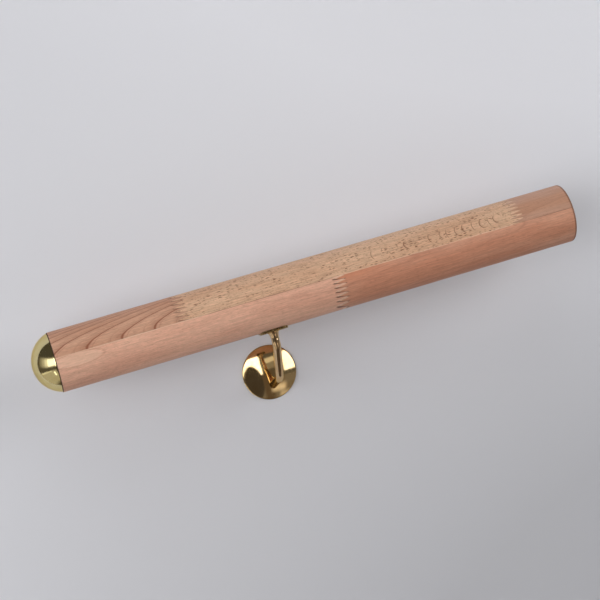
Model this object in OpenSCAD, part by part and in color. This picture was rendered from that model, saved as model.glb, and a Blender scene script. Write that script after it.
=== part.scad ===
// Round laminated beech handrail on one swan-neck wall bracket, with a domed
// brass end cap. The origin is the centre of the bracket's rosette on the wall:
// the wall is the plane y = 0, the rail stands off towards -Y and runs along X,
// with its capped end towards -X.

/* [Rail] */
// Diameter of the round rail
rail_d = 54; // [50:1:58]
// Length of the wood, without the end cap
rail_length = 488; // [470:1:900]
// Distance from the bracket to the capped end of the wood
cap_end_reach = 194; // [150:1:215]
// Distance from the wall to the rail's axis
projection = 78; // [76:1:88]
// Height of the rail's axis above the centre of the rosette
rise = 76; // [74:1:84]
// Width of the broken edge at the plain end
edge_break = 0.8; // [0.4:0.1:1.5]

/* [Layers and finger joints] */
// Tilt of the glue plane between the two layers, front edge up, in degrees
glue_plane_tilt = 13.5; // [0:0.5:20]
// Distance from the bracket to the lower layer's joint, towards the plain end
lower_joint = 64.5; // [30:0.5:120]
// Distance from the bracket to the upper layer's first joint, towards the cap
upper_first_joint = 78.5; // [30:0.5:120]
// Distance from the bracket to the upper layer's second joint, towards the plain end
upper_second_joint = 240; // [130:0.5:240]
// Length of the fingers
finger_length = 11; // [8:0.5:15]
// Distance from one finger to the next
finger_pitch = 3.8; // [3:0.1:6]
// Width of a finger's flat tip
finger_tip = 0.5; // [0.3:0.1:0.8]

/* [End cap] */
// Diameter of the cap's rim
cap_d = 53.2; // [50:0.1:53.6]
// Height of the dome
cap_height = 20; // [14:0.5:24]
// Wall thickness of the dome
cap_wall = 1.6; // [1.2:0.1:2.5]
// Diameter of the threaded boss inside the dome
cap_boss_d = 14; // [11:0.5:18]
// Thread diameter of the cap's hanger bolt
cap_stud_d = 6; // [5:1:8]
// Length of the cap's hanger bolt inside the wood
cap_stud_in_wood = 36; // [25:1:45]

/* [Saddle] */
// Length of the saddle along the rail
saddle_length = 26; // [26:1:34]
// Width of the saddle across the rail
saddle_width = 22; // [18:1:28]
// Thickness of the saddle
saddle_wall = 1.8; // [1.6:0.1:3]
// Distance of each wood screw from the saddle's centre
rail_screw_offset = 9.4; // [9.2:0.1:9.8]
// Diameter of the wood screws
rail_screw_d = 3; // [2.5:0.1:3.2]
// Length of the wood screws
rail_screw_length = 20; // [14:1:22]
// Thread diameter of the screw between the arm and the saddle
saddle_screw_d = 5; // [4:0.5:5]

/* [Arm] */
// Diameter of the arm
arm_d = 7.5; // [7:0.1:9]
// Distance below the rosette's centre where the arm's line meets the wall
arm_drop = 13; // [12.5:0.1:14]
// Slope of the neck, between the rosette and the first bend, in degrees
neck_slope = 15.3; // [13:0.1:18]
// Radius of the bend between the neck and the rod
neck_bend_r = 22; // [14:1:24]
// Slope of the rod, between the two bends, in degrees
rod_slope = 50; // [48:1:56]
// Radius of the bend between the rod and the head
head_bend_r = 14; // [12:0.5:16]
// Diameter of the flare under the saddle
arm_head_d = 12; // [10:0.5:12]

/* [Rosette] */
// Diameter of the rosette
rosette_d = 52; // [48:1:60]
// Height of the rosette's upright edge
rosette_edge = 1.6; // [1.5:0.1:2.5]
// Height of the dome above the edge
rosette_dome = 5; // [4.5:0.1:7]

/* [Wall fixing] */
// Thread diameter of the wall stud
wall_stud_d = 8; // [6:1:8]
// Length of the wall stud behind the wall's face
wall_stud_in_wall = 44; // [35:1:46]
// Diameter of the wall plug
plug_d = 10; // [10:0.5:12]
// Length of the wall plug
plug_length = 50; // [48:1:60]

/* [Hidden] */
$fn = 96;

pink_beech = [0.76, 0.58, 0.48];
pale_beech = [0.80, 0.66, 0.52];
red_beech = [0.75, 0.53, 0.42];
brass = [0.80, 0.68, 0.38];
steel = [0.72, 0.73, 0.75];
nylon = [0.62, 0.63, 0.64];

// A cutting tool reaches past the solid it cuts by this much.
past = 1;
// Radial clearance of the rosette's thread on the wall stud, on which it turns.
turning_clearance = 0.05;

rail_r = rail_d / 2;
cap_end_x = -cap_end_reach;
plain_end_x = rail_length - cap_end_reach;
// Half the depth of the tools that cut the layers out of the round rail.
layer_reach = rail_r + 2 * past;

cap_r = cap_d / 2;
dome_r = (cap_r * cap_r + cap_height * cap_height) / (2 * cap_height);
// Brass left between the end of the cap's hanger bolt and the top of the dome.
cap_stud_cover = 7;
cap_stud_in_cap = cap_height - cap_stud_cover;
dome_facets = 128;

saddle_corner_r = 5;
// A countersunk head is this many times as wide as its shank.
machine_screw_head = 1.84;
wood_screw_head = 1.88;
saddle_screw_head_d = saddle_screw_d * machine_screw_head;
saddle_screw_length = 10;
rail_screw_head_d = rail_screw_d * wood_screw_head;
// Countersunk heads have a 90 degree cone.
function head_height(head_d, shank_d) = (head_d - shank_d) / 2;

arm_r = arm_d / 2;
arm_top = rise - rail_r - saddle_wall;
flare_height = 7;
flare_steps = 16;
// The neck and the rod are this much thicker than the bends, and reach this far
// into them, so that the lengths overlap and fuse.
rod_excess = 0.02;
rod_overlap = 0.3;
// The neck's line starts here behind the rosette's face, inside the rosette.
socket_floor = 1.8;

// Points and directions in the arm's plane: [distance from the wall, height].
function heading(degrees) = [cos(degrees), sin(degrees)];
head_centre = [projection - head_bend_r, arm_top - flare_height];
rod_end = head_centre + head_bend_r * heading(rod_slope - 90);
neck_origin = [0, -arm_drop];
// Lengths of the neck's line and the rod's line as far as the corner where they cross.
reach = rod_end - neck_origin;
arm_turn = rod_slope - neck_slope;
neck_to_corner = (reach[0] * sin(rod_slope) - reach[1] * cos(rod_slope)) / sin(arm_turn);
rod_to_corner = (reach[1] * cos(neck_slope) - reach[0] * sin(neck_slope)) / sin(arm_turn);
corner_cut = neck_bend_r * tan(arm_turn / 2);
neck_length = neck_to_corner - corner_cut;
rod_length = rod_to_corner - corner_cut;
neck_end = neck_origin + neck_length * heading(neck_slope);
neck_centre = neck_end + neck_bend_r * heading(neck_slope + 90);

rosette_r = rosette_d / 2;
rosette_thickness = rosette_edge + rosette_dome;
rosette_sphere_r = (rosette_r * rosette_r + rosette_dome * rosette_dome) / (2 * rosette_dome);
rosette_steps = 20;
// The blind thread in the rosette's back leaves this much brass in front of it.
thread_cover = 1;
thread_depth = rosette_thickness - thread_cover;

wall_stud_r = wall_stud_d / 2;
stud_end_gap = 0.5;
point_length = 7;
plug_chamfer = 1;
recess_d = plug_d + 1.5;
recess_depth = 0.6;
groove_depth = 0.5;
groove_width = 2;
groove_step = 5;
first_groove = 14;
slot_width = 1.4;
slot_start = 12;

// A solid of revolution about the wall fixing's axis. Its outline is a list of
// [radius, distance in front of the wall].
module turned_about_wall_axis(outline) {
    rotate([90, 0, 0])
        rotate_extrude()
            polygon(outline);
}

// Places its children at the rail's axis above the bracket.
module at_rail() {
    translate([0, -projection, rise])
        children();
}

// The shank of a screw or stud that starts at the origin and ends in a point
// along +Z.
module pointed_shank(d, length, point) {
    cylinder(h = length - point, d = d);
    translate([0, 0, length - point])
        cylinder(h = point, d1 = d, d2 = d / 5);
}

// The whole round rail, with its broken edge at the plain end.
module round_rail() {
    translate([cap_end_x, 0, 0])
        rotate([0, 90, 0]) {
            cylinder(h = rail_length - edge_break, d = rail_d);
            translate([0, 0, rail_length - edge_break])
                cylinder(h = edge_break, d1 = rail_d, d2 = rail_d - 2 * edge_break);
        }
}

// The zigzag line of a finger joint centred at x, from below the rail to above it.
function finger_line(x) =
    let (steps = ceil(layer_reach / finger_pitch))
    [for (i = [-steps:steps], corner = [0:3])
        [x + (corner < 2 ? 1 : -1) * finger_length / 2,
         (i + (corner < 2 ? 0 : 0.5)) * finger_pitch + (corner % 2 - 0.5) * finger_tip]];

function straight_line(x) = [[x, -2 * layer_reach], [x, 2 * layer_reach]];

function reversed(points) = [for (i = [len(points) - 1:-1:0]) points[i]];

// One board of the rail, between two end lines, above or below the glue plane.
module lamella(start_line, end_line, side) {
    difference() {
        at_rail()
            intersection() {
                round_rail();
                rotate([-glue_plane_tilt, 0, 0])
                    intersection() {
                        translate([0, layer_reach, 0])
                            rotate([90, 0, 0])
                                linear_extrude(2 * layer_reach)
                                    polygon(concat(start_line, reversed(end_line)));
                        translate([cap_end_x - past, -layer_reach, side > 0 ? 0 : -layer_reach])
                            cube([rail_length + 2 * past, 2 * layer_reach, layer_reach]);
                    }
            }
        cap_stud_shape();
        rail_screw_pair();
    }
}

module upper_lamella_left() {
    color(pink_beech)
        lamella(straight_line(cap_end_x - past), finger_line(-upper_first_joint), 1);
}

module upper_lamella_middle() {
    color(pale_beech)
        lamella(finger_line(-upper_first_joint), finger_line(upper_second_joint), 1);
}

module upper_lamella_right() {
    color(pink_beech)
        lamella(finger_line(upper_second_joint), straight_line(plain_end_x + past), 1);
}

module lower_lamella_left() {
    color(pale_beech)
        lamella(straight_line(cap_end_x - past), finger_line(lower_joint), -1);
}

module lower_lamella_right() {
    color(red_beech)
        lamella(finger_line(lower_joint), straight_line(plain_end_x + past), -1);
}

// Keeps what lies on the cap's side of the joint, seen from the dome's centre.
module beyond_joint() {
    intersection() {
        children();
        translate([cap_height - 3 * dome_r, -dome_r, -dome_r])
            cube(2 * dome_r);
    }
}

// Domed shell with a boss inside for the hanger bolt.
module end_cap() {
    color(brass)
        difference() {
            at_rail()
                translate([cap_end_x + dome_r - cap_height, 0, 0])
                    beyond_joint() {
                        difference() {
                            sphere(dome_r, $fn = dome_facets);
                            sphere(dome_r - cap_wall, $fn = dome_facets);
                        }
                        intersection() {
                            sphere(dome_r - cap_wall / 2, $fn = dome_facets);
                            rotate([0, -90, 0])
                                cylinder(h = dome_r, d = cap_boss_d);
                        }
                    }
            cap_stud_shape();
        }
}

// Hanger bolt with a machine thread in the cap and a wood thread in the rail.
module cap_stud_shape() {
    at_rail()
        translate([cap_end_x - cap_stud_in_cap, 0, 0])
            rotate([0, 90, 0])
                pointed_shank(cap_stud_d, cap_stud_in_cap + cap_stud_in_wood, point_length);
}

module cap_stud() {
    color(steel)
        cap_stud_shape();
}

// The saddle's outline seen from above, as a block with rounded corners.
module saddle_block() {
    across = saddle_width / 2 - saddle_corner_r;
    along = saddle_length / 2 - saddle_corner_r;
    translate([0, 0, -rail_d]) {
        translate([-saddle_length / 2, -across, 0])
            cube([saddle_length, 2 * across, rail_d]);
        translate([-along, -saddle_width / 2, 0])
            cube([2 * along, saddle_width, rail_d]);
        for (x = [-along, along], y = [-across, across])
            translate([x, y, 0])
                cylinder(h = rail_d, r = saddle_corner_r);
    }
}

module saddle_plate() {
    color(brass)
        difference() {
            at_rail()
                difference() {
                    intersection() {
                        rotate([0, 90, 0])
                            cylinder(h = 2 * saddle_length, r = rail_r + saddle_wall, center = true);
                        saddle_block();
                    }
                    rotate([0, 90, 0])
                        cylinder(h = 3 * saddle_length, r = rail_r, center = true);
                }
            saddle_screw_shape();
            rail_screw_pair();
        }
}

// Countersunk machine screw: its head is flush in the saddle, its thread in the arm.
module saddle_screw_shape() {
    cone = head_height(saddle_screw_head_d, saddle_screw_d);
    translate([0, -projection, rise - rail_r]) {
        translate([0, 0, -saddle_screw_length])
            cylinder(h = saddle_screw_length, d = saddle_screw_d);
        translate([0, 0, -cone])
            cylinder(h = cone, d1 = saddle_screw_d, d2 = saddle_screw_head_d);
    }
}

// Cross recess for a screwdriver, centred on the head's face at the origin.
module cross_recess(width, depth) {
    for (turn = [0, 90])
        rotate([0, 0, turn])
            translate([-width / 2, -width / 10, -depth])
                cube([width, width / 5, 2 * depth]);
}

module saddle_screw() {
    color(steel)
        difference() {
            saddle_screw_shape();
            translate([0, -projection, rise - rail_r])
                cross_recess(saddle_screw_d, saddle_screw_d / 3);
        }
}

// The two wood screws that hold the saddle to the rail, driven upwards.
module rail_screw_pair() {
    cone = head_height(rail_screw_head_d, rail_screw_d);
    for (x = [-rail_screw_offset, rail_screw_offset])
        translate([x, -projection, arm_top]) {
            pointed_shank(rail_screw_d, rail_screw_length, rail_screw_d);
            cylinder(h = cone, d1 = rail_screw_head_d, d2 = rail_screw_d);
        }
}

module rail_screws() {
    color(steel)
        difference() {
            rail_screw_pair();
            for (x = [-rail_screw_offset, rail_screw_offset])
                translate([x, -projection, arm_top])
                    cross_recess(rail_screw_d, rail_screw_d / 3);
        }
}

// Turns its children so that X is the distance from the wall and Y is height.
module in_arm_plane() {
    rotate([90, 0, -90])
        children();
}

// A bend of the arm round a centre, through some degrees from a starting angle.
// Each bend starts at the end that meets the neck or the head.
module arm_bend(centre, radius, from_angle, degrees) {
    translate(centre)
        rotate([0, 0, from_angle])
            rotate_extrude(angle = degrees)
                translate([radius, 0])
                    circle(arm_r);
}

// A straight length of the arm, from one distance to another along a line.
module arm_rod(origin, slope, from, to) {
    translate(origin)
        rotate([0, 0, slope])
            translate([from, 0])
                rotate([0, 90, 0])
                    cylinder(h = to - from, r = arm_r + rod_excess);
}

// The neck. Its foot is let into the rosette.
module arm_neck() {
    in_arm_plane()
        arm_rod(neck_origin, neck_slope, socket_floor, neck_length + rod_overlap);
}

// The arm's head: a quarter-ellipse flare that spreads under the saddle.
module arm_head() {
    head_r = arm_head_d / 2;
    flare = [for (i = [0:flare_steps])
        let (angle = 90 * i / flare_steps)
        [head_r + (arm_r - head_r) * sin(angle), arm_top - flare_height * (1 - cos(angle))]];
    translate([0, -projection, 0])
        rotate_extrude()
            polygon(concat([[0, rise - rail_r], [head_r, rise - rail_r]], flare,
                           [[0, arm_top - flare_height]]));
}

module bracket_arm() {
    color(brass)
        difference() {
            union() {
                arm_neck();
                in_arm_plane() {
                    arm_bend(neck_centre, neck_bend_r, neck_slope - 90, arm_turn);
                    arm_rod(rod_end, rod_slope, -rod_length - rod_overlap, rod_overlap);
                    arm_bend(head_centre, head_bend_r, 0, rod_slope - 90);
                }
                arm_head();
            }
            at_rail()
                rotate([0, 90, 0])
                    cylinder(h = rail_d, r = rail_r + saddle_wall, center = true);
            saddle_screw_shape();
        }
}

// Domed plate that is screwed on to the wall stud from the front. Its back has a
// blind thread with a recess round the plug, its front a socket for the neck.
module rosette() {
    dome = [for (i = [0:rosette_steps])
        let (r = rosette_r * (1 - i / rosette_steps))
        [r, rosette_thickness - rosette_sphere_r + sqrt(pow(rosette_sphere_r, 2) - r * r)]];
    bore_r = wall_stud_r + turning_clearance;
    color(brass)
        difference() {
            turned_about_wall_axis(concat(
                [[0, thread_depth], [bore_r, thread_depth], [bore_r, recess_depth],
                 [recess_d / 2, recess_depth], [recess_d / 2, 0], [rosette_r, 0]], dome));
            arm_neck();
        }
}

// Hanger bolt with a machine thread in the rosette and a wood thread in the plug.
module wall_stud_shape() {
    in_rosette = thread_depth - stud_end_gap;
    translate([0, -in_rosette, 0])
        rotate([-90, 0, 0])
            pointed_shank(wall_stud_d, in_rosette + wall_stud_in_wall, point_length);
}

module wall_stud() {
    color(steel)
        wall_stud_shape();
}

// Expansion plug with cross slots and retaining grooves, closed at its tip.
module wall_plug() {
    color(nylon)
        difference() {
            rotate([-90, 0, 0]) {
                cylinder(h = plug_length - plug_chamfer, d = plug_d);
                translate([0, 0, plug_length - plug_chamfer])
                    cylinder(h = plug_chamfer, d1 = plug_d, d2 = plug_d - 2 * plug_chamfer);
            }
            wall_stud_shape();
            rotate([-90, 0, 0]) {
                for (turn = [0, 90])
                    rotate([0, 0, turn])
                        translate([-plug_d, -slot_width / 2, slot_start])
                            cube([2 * plug_d, slot_width, wall_stud_in_wall - slot_start]);
                for (start = [first_groove:groove_step:wall_stud_in_wall])
                    translate([0, 0, start])
                        difference() {
                            cylinder(h = groove_width, d = plug_d + 2 * past);
                            cylinder(h = groove_width, d = plug_d - 2 * groove_depth);
                        }
            }
        }
}

upper_lamella_left();
upper_lamella_middle();
upper_lamella_right();
lower_lamella_left();
lower_lamella_right();
end_cap();
cap_stud();
saddle_plate();
saddle_screw();
rail_screws();
bracket_arm();
rosette();
wall_stud();
wall_plug();
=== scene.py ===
import math

import bmesh
import bpy
from mathutils import Matrix, Vector


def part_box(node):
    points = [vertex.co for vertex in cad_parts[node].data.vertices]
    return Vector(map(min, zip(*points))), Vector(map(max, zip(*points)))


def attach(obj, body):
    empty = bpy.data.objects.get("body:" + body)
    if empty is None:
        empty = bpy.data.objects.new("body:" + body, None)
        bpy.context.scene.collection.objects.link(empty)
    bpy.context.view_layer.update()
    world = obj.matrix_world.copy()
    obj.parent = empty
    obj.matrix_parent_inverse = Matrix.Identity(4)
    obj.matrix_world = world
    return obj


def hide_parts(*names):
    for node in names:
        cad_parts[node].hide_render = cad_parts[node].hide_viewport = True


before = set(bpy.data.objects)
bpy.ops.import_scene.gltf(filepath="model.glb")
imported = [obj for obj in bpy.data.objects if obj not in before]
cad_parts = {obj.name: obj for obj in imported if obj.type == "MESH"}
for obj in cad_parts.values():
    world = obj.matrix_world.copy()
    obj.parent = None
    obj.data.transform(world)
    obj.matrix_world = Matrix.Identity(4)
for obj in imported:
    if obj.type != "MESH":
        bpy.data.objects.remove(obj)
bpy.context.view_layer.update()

MM = 0.001
TO_MM = (1000, 1000, 1000)
RIDES_ON = "rail_and_bracket"

# The rail: its axis, radius and ends come from the boxes of its five boards.
BOARDS = (
    "upper_lamella_left",
    "upper_lamella_middle",
    "upper_lamella_right",
    "lower_lamella_left",
    "lower_lamella_right",
)
BOX = {name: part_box(name) for name in BOARDS + ("end_cap", "rosette", "saddle_plate")}
RAIL_LOW = [min(BOX[name][0][k] for name in BOARDS) for k in range(3)]
RAIL_HIGH = [max(BOX[name][1][k] for name in BOARDS) for k in range(3)]
AXIS_Y = (RAIL_LOW[1] + RAIL_HIGH[1]) / 2
AXIS_Z = (RAIL_LOW[2] + RAIL_HIGH[2]) / 2
RAIL_R = (RAIL_HIGH[2] - RAIL_LOW[2]) / 2
GLUE_TILT = math.radians(13.5)

# Finger joints, as in the CAD: their depth is the overlap of two boards' boxes.
FINGER_PITCH = 3.8 * MM
FINGER_TIP = 0.5 * MM
FINGER_LENGTH = BOX["upper_lamella_left"][1][0] - BOX["upper_lamella_middle"][0][0]
ARC_STEPS = 30
LEAST_ROW_GAP = 0.03 * MM
SEAM_CHAMFER = 0.12 * MM
JOINT_CHAMFER = 0.12 * MM
END_ROUND = 0.8 * MM
CAP_END_ROUND = 0.3 * MM
ROUND_STEPS = 4
COLUMN_STEP = 30 * MM
PAST_FINGERS = 1 * MM

TURN_SEGMENTS = 160
SHARP_ANGLE = math.radians(35)


def joint_between(left, right):
    """Middle of the finger joint between two boards."""
    return (BOX[left][1][0] + BOX[right][0][0]) / 2


def finger_offset(height):
    """How far a joint's zigzag line lies from its middle, at a height above the glue plane."""
    half = FINGER_PITCH / 2
    place = abs((height + half) % FINGER_PITCH - half)
    part = (place - FINGER_TIP / 2) / (half - FINGER_TIP)
    return FINGER_LENGTH * (0.5 - min(max(part, 0), 1))


def row_heights():
    """Heights above the glue plane of the rows of a board's mesh, with every corner of the fingers."""
    half = FINGER_PITCH / 2
    corners = []
    for k in range(math.ceil(RAIL_R / half) + 1):
        corners += [k * half - FINGER_TIP / 2, k * half + FINGER_TIP / 2]
    heights = [h for h in corners if SEAM_CHAMFER + LEAST_ROW_GAP < h < RAIL_R - LEAST_ROW_GAP]
    for step in range(1, ARC_STEPS):
        h = RAIL_R * math.sin(math.pi / 2 * step / ARC_STEPS)
        if min(abs(h - other) for other in heights + [SEAM_CHAMFER, RAIL_R]) > LEAST_ROW_GAP:
            heights.append(h)
    return [0.0, SEAM_CHAMFER] + sorted(heights) + [RAIL_R]


def rounded_end(end, outward, radius):
    """Columns of a rounded board end, from the end face inwards: place, inset and tilt of the normal."""
    columns = []
    for step in range(ROUND_STEPS + 1):
        angle = math.pi / 2 * (1 - step / ROUND_STEPS)
        along = radius * (1 - math.sin(angle))
        inset = radius * (1 - math.cos(angle))
        columns.append((lambda h, x=end - outward * along: x, inset, outward * angle))
    return columns


def finger_end(middle, inward):
    """Columns of a board end that is cut into fingers, from the end face inwards."""
    clear = middle + inward * (FINGER_LENGTH / 2 + PAST_FINGERS)
    return [
        (lambda h: middle + finger_offset(h), JOINT_CHAMFER, None),
        (lambda h: middle + finger_offset(h) + inward * JOINT_CHAMFER, 0.0, 0.0),
        (lambda h: clear, 0.0, 0.0),
    ]


def board_columns(start, end):
    """All columns of a board between its two worked ends."""
    low = start[-1][0](0)
    high = end[-1][0](0)
    count = max(1, round((high - low) / COLUMN_STEP))
    between = []
    for k in range(1, count):
        between.append((lambda h, x=low + (high - low) * k / count: x, 0.0, 0.0))
    return start + between + list(reversed(end))


def board_point(x, across, height):
    """A point given along the rail, across it in the glue plane, and above the glue plane."""
    y = across * math.cos(GLUE_TILT) + height * math.sin(GLUE_TILT)
    z = -across * math.sin(GLUE_TILT) + height * math.cos(GLUE_TILT)
    return Vector((x, AXIS_Y + y, AXIS_Z + z))


def board_direction(across, height):
    """A direction square to the rail, from the glue plane's frame."""
    origin = Vector((0, AXIS_Y, AXIS_Z))
    return (board_point(0, across, height) - origin).normalized()


def link_object(name, data):
    """A new object in the scene, from a mesh, a light or a camera."""
    piece = bpy.data.objects.new(name, data)
    bpy.context.collection.objects.link(piece)
    return piece


def mesh_object(name, points, faces, normals):
    """A piece from points and faces, with a normal for each corner of each face."""
    mesh = bpy.data.meshes.new(name)
    mesh.from_pydata([tuple(p) for p in points], [], faces)
    mesh.polygons.foreach_set("use_smooth", [True] * len(faces))
    mesh.update()
    mesh.normals_split_custom_set([tuple(n) for n in normals])
    return link_object(name, mesh)


class BoardMesh:
    """Collects the faces of a board, each wound so that it faces outwards."""

    def __init__(self):
        self.points = []
        self.faces = []
        self.normals = []

    def add(self, corners, outward, corner_normals=None):
        ring = [self.points[k] for k in corners]
        turn = (ring[1] - ring[0]).cross(ring[2] - ring[0])
        if len(ring) == 4:
            turn += (ring[2] - ring[0]).cross(ring[3] - ring[0])
        flat = turn.normalized()
        smooth = list(corner_normals or [])
        if turn.dot(outward) < 0:
            corners = list(reversed(corners))
            smooth = list(reversed(smooth))
            flat = -flat
        self.faces.append(corners)
        self.normals += smooth or [flat] * len(corners)


def board(name, start, end, side):
    """One board of the rail as a closed mesh: outside, glue face and two end faces."""
    heights = row_heights()
    top = len(heights) - 1
    rows = [(-1, h) for h in heights] + [(1, h) for h in reversed(heights[:-1])]
    columns = board_columns(start, end)
    mesh = BoardMesh()
    radial = []
    for front, h in rows:
        across = front * math.sqrt(max(RAIL_R ** 2 - h ** 2, 0))
        radial.append(board_direction(across, side * h))
        seam_inset = SEAM_CHAMFER if h == 0 else 0.0
        for place, inset, _ in columns:
            scale = 1 - (inset + seam_inset) / RAIL_R
            mesh.points.append(board_point(place(h), across * scale, side * h * scale))
    width = len(columns)
    last = len(rows) - 1
    for i in range(last):
        for j in range(width - 1):
            corners = [i * width + j, i * width + j + 1, (i + 1) * width + j + 1, (i + 1) * width + j]
            tilts = [columns[j][2], columns[j + 1][2]]
            outward = radial[i] + radial[i + 1]
            seam = i == 0 or i == last - 1
            if None in tilts or seam:
                mesh.add(corners, outward)
                continue
            smooth = []
            for row, tilt in ((i, tilts[0]), (i, tilts[1]), (i + 1, tilts[1]), (i + 1, tilts[0])):
                smooth.append(radial[row] * math.cos(tilt) + Vector((math.sin(tilt), 0, 0)))
            mesh.add(corners, outward, smooth)
    for j in range(width - 1):
        mesh.add([j, j + 1, last * width + j + 1, last * width + j], board_direction(0, -side))
    for j, outward in ((0, Vector((-1, 0, 0))), (width - 1, Vector((1, 0, 0)))):
        for i in range(top):
            front = [i * width + j, (i + 1) * width + j]
            back = [(last - i - 1) * width + j, (last - i) * width + j]
            corners = front + back if i + 1 < top else front + back[1:]
            mesh.add(corners, outward)
    return mesh_object(name, mesh.points, mesh.faces, mesh.normals)


def swept(name, rings):
    """A piece through rings of points; a ring of one point closes an end."""
    bm = bmesh.new()
    loops = [[bm.verts.new(p) for p in ring] for ring in rings]
    for a, b in zip(loops, loops[1:]):
        count = max(len(a), len(b))
        for k in range(count):
            near = (k + 1) % count
            corners = [a[k % len(a)], a[near % len(a)], b[near % len(b)], b[k % len(b)]]
            face = list(dict.fromkeys(corners))
            bm.faces.new(face)
    return smooth_piece(name, bm)


def smooth_piece(name, bm):
    """A smooth-shaded piece from a bmesh, with its sharp edges kept sharp."""
    bmesh.ops.recalc_face_normals(bm, faces=bm.faces)
    for face in bm.faces:
        face.smooth = True
    for edge in bm.edges:
        edge.smooth = len(edge.link_faces) == 2 and edge.calc_face_angle() < SHARP_ANGLE
    mesh = bpy.data.meshes.new(name)
    bm.to_mesh(mesh)
    bm.free()
    return link_object(name, mesh)


def turned(name, profile, centre, axis):
    """A turned piece: profile lists (radius, distance along the axis) from one pole to the other."""
    axis = Vector(axis)
    side = axis.orthogonal().normalized()
    other = axis.cross(side)
    rings = []
    for radius, along in profile:
        middle = Vector(centre) + along * axis
        if radius == 0:
            rings.append([middle])
            continue
        ring = []
        for k in range(TURN_SEGMENTS):
            turn = 2 * math.pi * k / TURN_SEGMENTS
            ring.append(middle + radius * (side * math.cos(turn) + other * math.sin(turn)))
        rings.append(ring)
    return swept(name, rings)


def arc(centre_r, centre_a, radius, start, stop, steps):
    """Points of an arc in a profile; angles in degrees, 0 outwards and 90 along the axis."""
    points = []
    for k in range(steps + 1):
        angle = math.radians(start + (stop - start) * k / steps)
        points.append((centre_r + radius * math.cos(angle), centre_a + radius * math.sin(angle)))
    return points


# ---------------------------------------------------------------- end cap

INNER_DOME_STEPS = 16
OUTER_DOME_STEPS = 64


def make_end_cap():
    """Spun brass dome with its boss and threaded hole."""
    low, high = BOX["end_cap"]
    rim_x = high[0]
    height = rim_x - low[0]
    rim_r = (high[2] - low[2]) / 2
    dome_r = (rim_r ** 2 + height ** 2) / (2 * height)
    wall = 1.6 * MM
    boss_r = 7 * MM
    hole_r = 3.05 * MM
    hole_depth = 13 * MM
    rim_round = 0.25 * MM
    # Distances run outwards from the rim to the crown.
    centre = height - dome_r
    inner_r = dome_r - wall
    rim_angle = math.degrees(math.asin(-centre / dome_r))
    profile = [(0, hole_depth), (hole_r, hole_depth), (hole_r, 0.0), (boss_r, 0.0)]
    boss_top = centre + math.sqrt(inner_r ** 2 - boss_r ** 2)
    boss_angle = math.degrees(math.asin((boss_top - centre) / inner_r))
    inner_angle = math.degrees(math.asin(-centre / inner_r))
    profile += arc(0, centre, inner_r, boss_angle, inner_angle, INNER_DOME_STEPS)
    outer = arc(0, centre, dome_r, rim_angle + math.degrees(rim_round / dome_r), 90, OUTER_DOME_STEPS)
    start = outer[0]
    profile += [(start[0] - 2 * rim_round, 0.0), (start[0] - 0.4 * rim_round, 0.25 * rim_round)]
    profile += outer[:-1] + [(0, height)]
    return turned("end_cap_dome", profile, (rim_x, AXIS_Y, AXIS_Z), (-1, 0, 0))


# ---------------------------------------------------------------- bracket

ARM_R = 3.75 * MM
ARM_DROP = 13 * MM
NECK_SLOPE = 15.3
NECK_BEND_R = 22 * MM
ROD_SLOPE = 50
HEAD_BEND_R = 14 * MM
HEAD_R = 6 * MM
FLARE_HEIGHT = 7 * MM
SADDLE_R = RAIL_R + 1.8 * MM
SOCKET_FLOOR = 1.8 * MM
SOCKET_CLEARANCE = 0.04 * MM
SADDLE_SCREW_R = 2.6 * MM
SADDLE_SCREW_DEPTH = 8.4 * MM
ROSETTE_EDGE = 1.6 * MM
ARM_SEGMENTS = 72
BEND_STEPS = 16
FLARE_STEPS = 20
DOME_RINGS = 40


def heading(slope):
    """Direction in the arm's plane: away from the wall and up."""
    angle = math.radians(slope)
    return Vector((0, -math.cos(angle), math.sin(angle)))


def ring_round(middle, slope, radius):
    """A ring of points round the arm, at a place and slope in the arm's plane."""
    side = Vector((1, 0, 0))
    other = heading(slope + 90)
    ring = []
    for k in range(ARM_SEGMENTS):
        turn = 2 * math.pi * k / ARM_SEGMENTS
        ring.append(middle + radius * (side * math.cos(turn) + other * math.sin(turn)))
    return ring


def scaled_to(ring, radius, height):
    """The ring moved on to a circle round the wall fixing's axis, at a height above the wall."""
    points = []
    for point in ring:
        factor = radius / math.hypot(point.x, point.z)
        points.append(Vector((point.x * factor, -height, point.z * factor)))
    return points


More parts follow.
